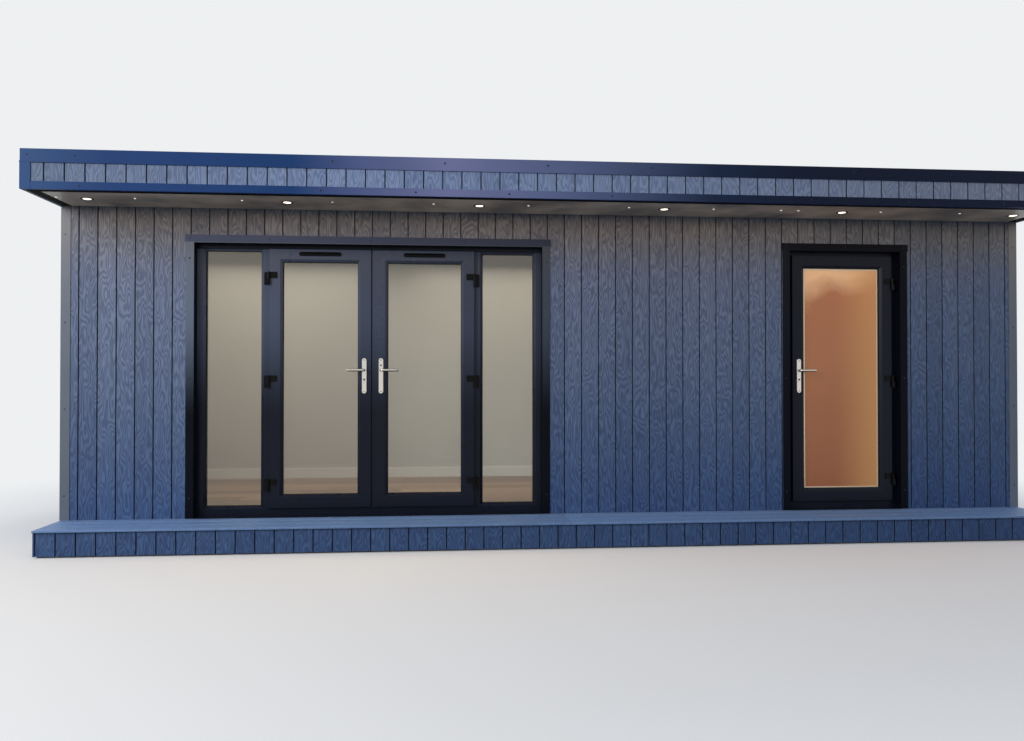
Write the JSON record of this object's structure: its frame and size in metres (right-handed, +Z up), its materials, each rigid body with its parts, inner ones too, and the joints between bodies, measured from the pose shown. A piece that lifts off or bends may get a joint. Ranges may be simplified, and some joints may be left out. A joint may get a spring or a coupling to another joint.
{
  "type": "garden office pod",
  "caption": "Flat-roofed garden room clad in upright composite boards, with French doors between fixed lights, a glazed single door and a full-width front step.",
  "frame": {"origin": "on the ground, under the middle of the roof", "axes": "+X to the right along the front, +Y from the front to the back, +Z up"},
  "size_m": [7.296, 2.836, 2.7],
  "materials": {
    "timber": "plain sawn softwood and sheet",
    "floor": "wood-effect boards, satin",
    "cladding": "blue-grey composite boards with embossed grain",
    "trim": "anthracite powder coat, satin",
    "upvc": "anthracite foil on moulded profile",
    "clear_glass": "clear sealed unit",
    "amber_glass": "obscure sealed unit with a warm tone",
    "handle_metal": "satin",
    "black_plastic": "moulded, matt",
    "soffit": "satin sheet",
    "decking": "composite board, brushed",
    "membrane": "single-ply sheet, matt",
    "white_paint": "painted, matt",
    "roof": "insulated deck with a painted ceiling",
    "lamp": "dark ring round a pale lens"
  },
  "bodies": {
    "root": {"base_slab": "timber", "floor_deck": "floor", "base_skirt": "cladding", "step_rails": "timber", "step_joists": "timber", "step_tread": "decking", "step_skirt": "cladding", "front_wall_left": "cladding", "front_wall_middle": "cladding", "front_wall_right": "cladding", "front_wall_over_french": "cladding", "front_wall_over_door": "cladding", "left_wall": "cladding", "right_wall": "cladding", "back_wall": "cladding", "corner_trims": "trim", "door_trims": "trim", "door_sills": "upvc", "roof_core": "roof", "roof_membrane": "membrane", "roof_edge_trim": "trim", "fascia_boards": "cladding", "fascia_lower_trim": "trim", "soffit_panel": "soffit", "downlights": "lamp", "skirting_board": "white_paint", "french_frame": "upvc", "sidelight_glass": "clear_glass", "single_frame": "upvc", "hinge_bases": "black_plastic"},
    "french_left_door": {"french_left_leaf": "upvc", "french_left_glass": "clear_glass", "french_left_hinges": "black_plastic", "french_left_plates": "handle_metal", "french_left_vent": "black_plastic"},
    "french_left_handle": {"french_left_lever": "handle_metal"},
    "french_right_door": {"french_right_leaf": "upvc", "french_right_glass": "clear_glass", "french_right_hinges": "black_plastic", "french_right_plates": "handle_metal", "french_right_vent": "black_plastic"},
    "french_right_handle": {"french_right_lever": "handle_metal"},
    "single_door": {"single_leaf": "upvc", "single_glass": "amber_glass", "single_hinges": "black_plastic", "single_plates": "handle_metal"},
    "single_handle": {"single_lever": "handle_metal"}
  },
  "joints": [
    {"name": "french_left_hinge", "type": "hinge", "parent": "root", "child": "french_left_door", "pos_m": [-2.175, -0.881, 0.242], "axis": [0, 0, -1], "range_deg": [0, 90]},
    {"name": "french_right_hinge", "type": "hinge", "parent": "root", "child": "french_right_door", "pos_m": [-0.663, -0.881, 0.242], "axis": [0, 0, 1], "range_deg": [0, 90]},
    {"name": "single_hinge", "type": "hinge", "parent": "root", "child": "single_door", "pos_m": [2.615, -0.881, 0.242], "axis": [0, 0, 1], "range_deg": [0, 90]},
    {"name": "french_left_lever_turn", "type": "hinge", "parent": "french_left_door", "child": "french_left_handle", "pos_m": [-1.4805, -0.869, 1.26], "axis": [0, -1, 0], "range_deg": [-40, 40], "stiffness_Nm_per_rad": 6},
    {"name": "french_right_lever_turn", "type": "hinge", "parent": "french_right_door", "child": "french_right_handle", "pos_m": [-1.3575, -0.869, 1.26], "axis": [0, 1, 0], "range_deg": [-40, 40], "stiffness_Nm_per_rad": 6},
    {"name": "single_lever_turn", "type": "hinge", "parent": "single_door", "child": "single_handle", "pos_m": [1.856, -0.869, 1.26], "axis": [0, 1, 0], "range_deg": [-40, 40], "stiffness_Nm_per_rad": 6}
  ]
}
